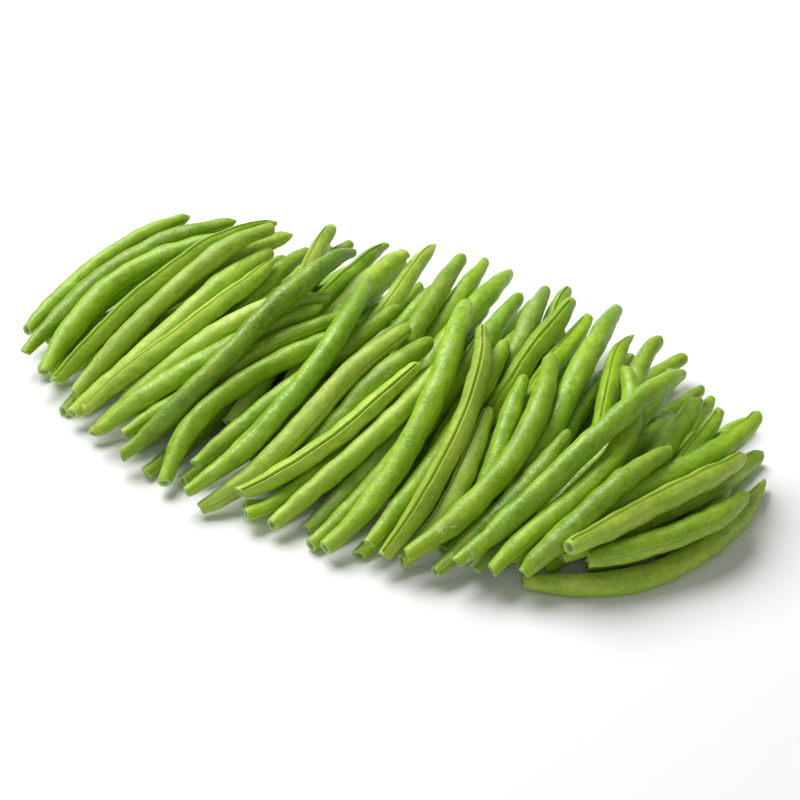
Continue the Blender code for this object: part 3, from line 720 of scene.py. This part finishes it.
def makeSkinGroup():
    marks = skinMarks
    tree = bpy.data.node_groups.new("podSkin", "ShaderNodeTree")
    sockets = (
        ("Place", "Vector"), ("Ends", "Vector"), ("Seed", "Float"), ("Skin", "Color"),
        ("Light", "Color"), ("Mottle", "Float"), ("Fibres", "Float"), ("Stripes", "Float"),
        ("Seam", "Float"), ("Rough", "Float"),
    )
    for name, kind in sockets:
        tree.interface.new_socket(name, in_out="INPUT", socket_type="NodeSocket" + kind)
    for name, kind in (("Color", "Color"), ("Roughness", "Float"), ("Height", "Float")):
        tree.interface.new_socket(name, in_out="OUTPUT", socket_type="NodeSocket" + kind)
    given = addNode(tree, "NodeGroupInput", (-1600, 0)).outputs
    result = addNode(tree, "NodeGroupOutput", (1600, 0)).inputs

    def shaped(name, at, value):
        return ramp(tree, at, value, *skinRamps[name])

    def times(at, one, two):
        return mathNode(tree, "MULTIPLY", at, one, two)

    noise = {}
    for row, (name, (stretch, detail)) in enumerate(skinNoises.items()):
        noise[name] = streakNoise(tree, (-1300, 600 - 200 * row), given["Place"], given["Seed"],
                                  stretch, detail)
    axes = addNode(tree, "ShaderNodeSeparateXYZ", (-1300, -650))
    feed(tree, axes.inputs[0], given["Place"])
    ends = addNode(tree, "ShaderNodeSeparateXYZ", (-1300, -800))
    feed(tree, ends.inputs[0], given["Ends"])
    along, cut, radial = ends.outputs
    fromSeam = mathNode(tree, "ABSOLUTE", (-1100, -650), axes.outputs["Y"])
    groove = times((-700, -650), shaped("groove", (-900, -650), fromSeam), given["Seam"])
    lips = times((-700, -800), shaped("lips", (-900, -800), fromSeam), given["Seam"])

    # Colour, from the broad to the fine
    light = given["Light"]
    patchy = times((-500, 700), shaped("mottle", (-700, 700), noise["mottle"]), given["Mottle"])
    colour = mixColour(tree, (-300, 700), patchy, given["Skin"], light)
    own = addNode(tree, "ShaderNodeTexWhiteNoise", (-700, 850), noise_dimensions="1D")
    feed(tree, own.inputs["W"], given["Seed"])
    tone = shaped("tones", (-500, 850), own.outputs["Value"])
    colour = mixColour(tree, (-100, 700), 1.0, colour, tone, "MULTIPLY")
    fine = shaped("patches", (-700, 500), noise["patches"])
    colour = mixColour(tree, (100, 700), 1.0, colour, fine, "MULTIPLY")
    streaks = times((-300, 300), shaped("fibres", (-500, 300), noise["fibres"]), given["Fibres"])
    colour = mixColour(tree, (300, 700), streaks, colour, light)
    stripes = times((-300, 100), shaped("stripes", (-500, 100), noise["stripes"]), given["Stripes"])
    # Painted highlight: the cross wrinkles are painted paler, as light catches them; their relief is
    # real, in roughness and height
    paintedStripeHighlight = times((300, 100), stripes, marks["stripePaintedHighlight"])
    colour = mixColour(tree, (500, 700), paintedStripeHighlight, colour, light)
    # Painted sheen: pale specks painted into the colour stand in for the frosted highlights
    paintedSheen = shaped("paintedSheen", (-500, -100), noise["specks"])
    colour = mixColour(tree, (700, 700), paintedSheen, colour, marks["paintedSheenColour"])
    lipsPale = times((650, -650), lips, marks["lipsPale"])
    colour = mixColour(tree, (850, 700), lipsPale, colour, light)
    # Painted shade: the seam grooves are painted dark, as shade falls in them
    dark = times((650, -500), groove, marks["groovePaintedShade"])
    colour = mixColour(tree, (1000, 700), dark, colour, marks["groove"])
    pale = shaped("front", (850, -900), along)
    colour = mixColour(tree, (1100, 700), pale, colour, light)
    scarred = times((850, 300), shaped("scars", (650, 300), noise["scars"]),
                    shaped("scarSpecks", (650, 150), noise["specks"]))
    colour = mixColour(tree, (1200, 700), scarred, colour, marks["scar"])
    rim = shaped("rim", (800, 950), radial)
    cutColour = mixColour(tree, (1000, 950), rim, marks["core"], marks["rim"])
    colour = mixColour(tree, (1400, 700), cut, colour, cutColour)
    feed(tree, result["Color"], colour)

    # Roughness and height, the height in millimetres
    rough = mathNode(tree, "MULTIPLY_ADD", (1000, 0), stripes, marks["stripeRough"], given["Rough"])
    rough = mathNode(tree, "MULTIPLY_ADD", (1200, 0), cut, marks["cutRough"], rough)
    feed(tree, result["Roughness"], rough)
    height = times((400, -300), stripes, marks["stripeHeight"])
    ribs = mathNode(tree, "MULTIPLY_ADD", (400, -450), pale, marks["frontRibs"], given["Fibres"])
    ribbed = times((600, -450), ribs, noise["fibres"])
    relief = (
        (ribbed, marks["fibreHeight"]),
        (noise["patches"], marks["patchHeight"]),
        (groove, -marks["grooveHeight"]),
    )
    for row, (part, size) in enumerate(relief):
        height = mathNode(tree, "MULTIPLY_ADD", (800 + 200 * row, -300), part, size, height)
    feed(tree, result["Height"], height)
    return tree


skins = {
    "pale": {"Skin": (0.295, 0.48, 0.022), "Light": (0.46, 0.61, 0.06),
             "Mottle": 0.8, "Fibres": 0.5, "Stripes": 0.6, "Seam": 0.9, "Rough": 0.44},
    "bright": {"Skin": (0.225, 0.42, 0.002), "Light": (0.37, 0.56, 0.015),
               "Mottle": 0.75, "Fibres": 0.25, "Stripes": 0.7, "Seam": 0.7, "Rough": 0.40},
    "green": {"Skin": (0.19, 0.365, 0.003), "Light": (0.34, 0.52, 0.02),
              "Mottle": 0.75, "Fibres": 0.25, "Stripes": 0.9, "Seam": 0.6, "Rough": 0.38},
    "dark": {"Skin": (0.155, 0.33, 0.003), "Light": (0.33, 0.51, 0.025),
             "Mottle": 0.8, "Fibres": 0.2, "Stripes": 1.0, "Seam": 0.5, "Rough": 0.33},
    "dusky": {"Skin": (0.16, 0.285, 0.012), "Light": (0.32, 0.46, 0.06),
              "Mottle": 0.7, "Fibres": 0.3, "Stripes": 0.9, "Seam": 0.5, "Rough": 0.42},
}
skinShine = {
    "Specular IOR Level": 0.52,
    "Subsurface Weight": 0.12,
    "Subsurface Radius": (0.5, 1.0, 0.15),
    "Subsurface Scale": 0.0015,
}


def makeSkin(tone, group):
    look = skins[tone]
    material = bpy.data.materials.new(tone + "Pod")
    material.use_nodes = True
    tree = material.node_tree
    shader = tree.nodes["Principled BSDF"]
    for name, value in skinShine.items():
        feed(tree, shader.inputs[name], value)
    skin = addNode(tree, "ShaderNodeGroup", (-300, 200), node_tree=group)
    readers = (
        ("Place", "podPlace", "Vector"),
        ("Ends", "podEnds", "Vector"),
        ("Seed", "podSeed", "Fac"),
    )
    for row, (socket, attribute, output) in enumerate(readers):
        reader = addNode(tree, "ShaderNodeAttribute", (-600, 300 - 200 * row), attribute_name=attribute)
        feed(tree, skin.inputs[socket], reader.outputs[output])
    for name, value in look.items():
        feed(tree, skin.inputs[name], value)
    bump = addNode(tree, "ShaderNodeBump", (-100, -200), Strength=1.0, Distance=mm)
    feed(tree, bump.inputs["Height"], skin.outputs["Height"])
    feed(tree, shader.inputs["Base Color"], skin.outputs["Color"])
    feed(tree, shader.inputs["Roughness"], skin.outputs["Roughness"])
    feed(tree, shader.inputs["Normal"], bump.outputs["Normal"])
    return material


# Making it all

print("laying the heap")
laid, bedCount, fused = layHeap()

print("modelling the pods to copy")
masters = {}
for look in podLooks:
    for back in ("point",) if look == "pointed" else ("cut", "round"):
        masters[look, back] = modelPod(look + back, look, back, podMesh["sides"], podMesh["rings"])
masters["coarse"] = modelPod("coarse", "smooth", "cut", podMesh["coarseSides"], podMesh["coarseRings"])

print("mixing the skins")
skinGroup = makeSkinGroup()
skinMaterials = {tone: makeSkin(tone, skinGroup) for tone in skins}

print("bending the pods into place")
draw = np.random.default_rng(podShape["seed"])
pods = []
for number, line in enumerate(laid.lines):
    oval = draw.uniform(*podShape["oval"])
    side = draw.choice((-1, 1))
    upright = draw.uniform(-podShape["seamUp"], podShape["seamUp"])
    aside = side * draw.uniform(*podShape["seamAside"])
    back = "cut" if draw.random() < podShape["cutBacks"] else "round"
    seed = draw.uniform(*podShape["ownSeeds"])
    if number < bedCount:
        tone, master, roll, girth = "green", masters["coarse"], aside, laid.radii[number].max() * 2
    else:
        row = (lowerPods + topPods)[number - bedCount]
        tone, look, girth = row[7], row[8], row[5]
        roll = upright if look in ("ridged", "pointed") else aside
        master = masters[look, "point" if look == "pointed" else back]
    pod = bendPod("pod", master, line, girth * podShape["grow"], roll, oval, seed)
    pod.data.materials.clear()
    pod.data.materials.append(skinMaterials[tone])
    pods.append(pod)
for master in masters.values():
    bpy.data.objects.remove(master, do_unlink=True)

print("joining the handfuls")
for number in range(heap["handfuls"]):
    mates = [pods[k] for k in range(fused) if laid.handful[k] == number]
    makeActive(mates[0])
    for mate in mates:
        mate.select_set(True)
    bpy.ops.object.join()
    whole = bpy.context.object
    whole.name = "lowerPods%02d" % (number + 1)
    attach(whole, "root")
    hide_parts("handful_%02d" % (number + 1))
for number, pod in enumerate(pods[fused:]):
    pod.name = "topPod%02d" % (number + 1)
    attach(pod, "root")
    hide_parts("bean_%02d" % (number + 1))


# Camera, floor and soft studio light

studio = {
    "azimuth": 28.4, "elevation": 38.0, "distance": 0.7, "lens": 76.8, "target": (12.0, -6.0, 20.0),
    "floorSize": 30.0, "floor": (0.9, 0.9, 0.9), "floorRough": 0.9, "floorSpecular": 0.1,
    "glow": 0.75, "glowFrom": (0.4, 1.6), "air": 0.24, "backdrop": 1.0,
    "lightTarget": (0, 0, 0.02),
    "lights": (
        ("keyLight", (-0.72, 0.32, 1.22), 1.15, 28.0),
        ("fillLight", (0.4, -1.1, 0.7), 1.0, 1.8),
    ),
}


def aimAt(thing, spot):
    thing.rotation_euler = (Vector(spot) - thing.location).to_track_quat("-Z", "Y").to_euler()


def layFloor():
    deselectAll()
    bpy.ops.mesh.primitive_plane_add(size=studio["floorSize"], location=(0, 0, 0))
    floor = bpy.context.object
    floor.name = "floor"
    paint = bpy.data.materials.new("paleFloor")
    paint.use_nodes = True
    tree = paint.node_tree
    shader = tree.nodes["Principled BSDF"]
    shader.inputs["Base Color"].default_value = (*studio["floor"], 1)
    shader.inputs["Roughness"].default_value = studio["floorRough"]
    shader.inputs["Specular IOR Level"].default_value = studio["floorSpecular"]
    place = addNode(tree, "ShaderNodeTexCoord", (-900, -300))
    far = addNode(tree, "ShaderNodeVectorMath", (-700, -300), operation="LENGTH")
    feed(tree, far.inputs[0], place.outputs["Object"])
    glow = ramp(tree, (-400, -300), far.outputs["Value"], *studio["glowFrom"], 0.0, studio["glow"])
    shader.inputs["Emission Color"].default_value = (1, 1, 1, 1)
    feed(tree, shader.inputs["Emission Strength"], glow)
    floor.data.materials.append(paint)


def placeCamera():
    target = (Vector(studio["target"]) - Vector(heap["middle"])) * mm
    turn, rise = math.radians(studio["azimuth"]), math.radians(studio["elevation"])
    back = Vector((math.sin(turn) * math.cos(rise), -math.cos(turn) * math.cos(rise), math.sin(rise)))
    bpy.ops.object.camera_add(location=target + back * studio["distance"])
    camera = bpy.context.object
    camera.data.lens = studio["lens"]
    aimAt(camera, target)
    bpy.context.scene.camera = camera


def hangLights():
    for name, place, size, power in studio["lights"]:
        bpy.ops.object.light_add(type="AREA", location=place)
        light = bpy.context.object
        light.name = name
        light.data.shape = "DISK"
        light.data.size = size
        light.data.energy = power
        aimAt(light, studio["lightTarget"])
    world = bpy.data.worlds.new("studioAir")
    world.use_nodes = True
    tree = world.node_tree
    seen = addNode(tree, "ShaderNodeLightPath", (-600, 0))
    strength = addNode(tree, "ShaderNodeMapRange", (-300, 0))
    levels = (seen.outputs["Is Camera Ray"], 0.0, 1.0, studio["air"], studio["backdrop"])
    for socket, value in zip(strength.inputs, levels):
        feed(tree, socket, value)
    tree.nodes["Background"].inputs["Color"].default_value = (1, 1, 1, 1)
    feed(tree, tree.nodes["Background"].inputs["Strength"], strength.outputs[0])
    bpy.context.scene.world = world
    bpy.context.scene.view_settings.view_transform = "Standard"


print("setting up the studio")
layFloor()
placeCamera()
hangLights()
deselectAll()
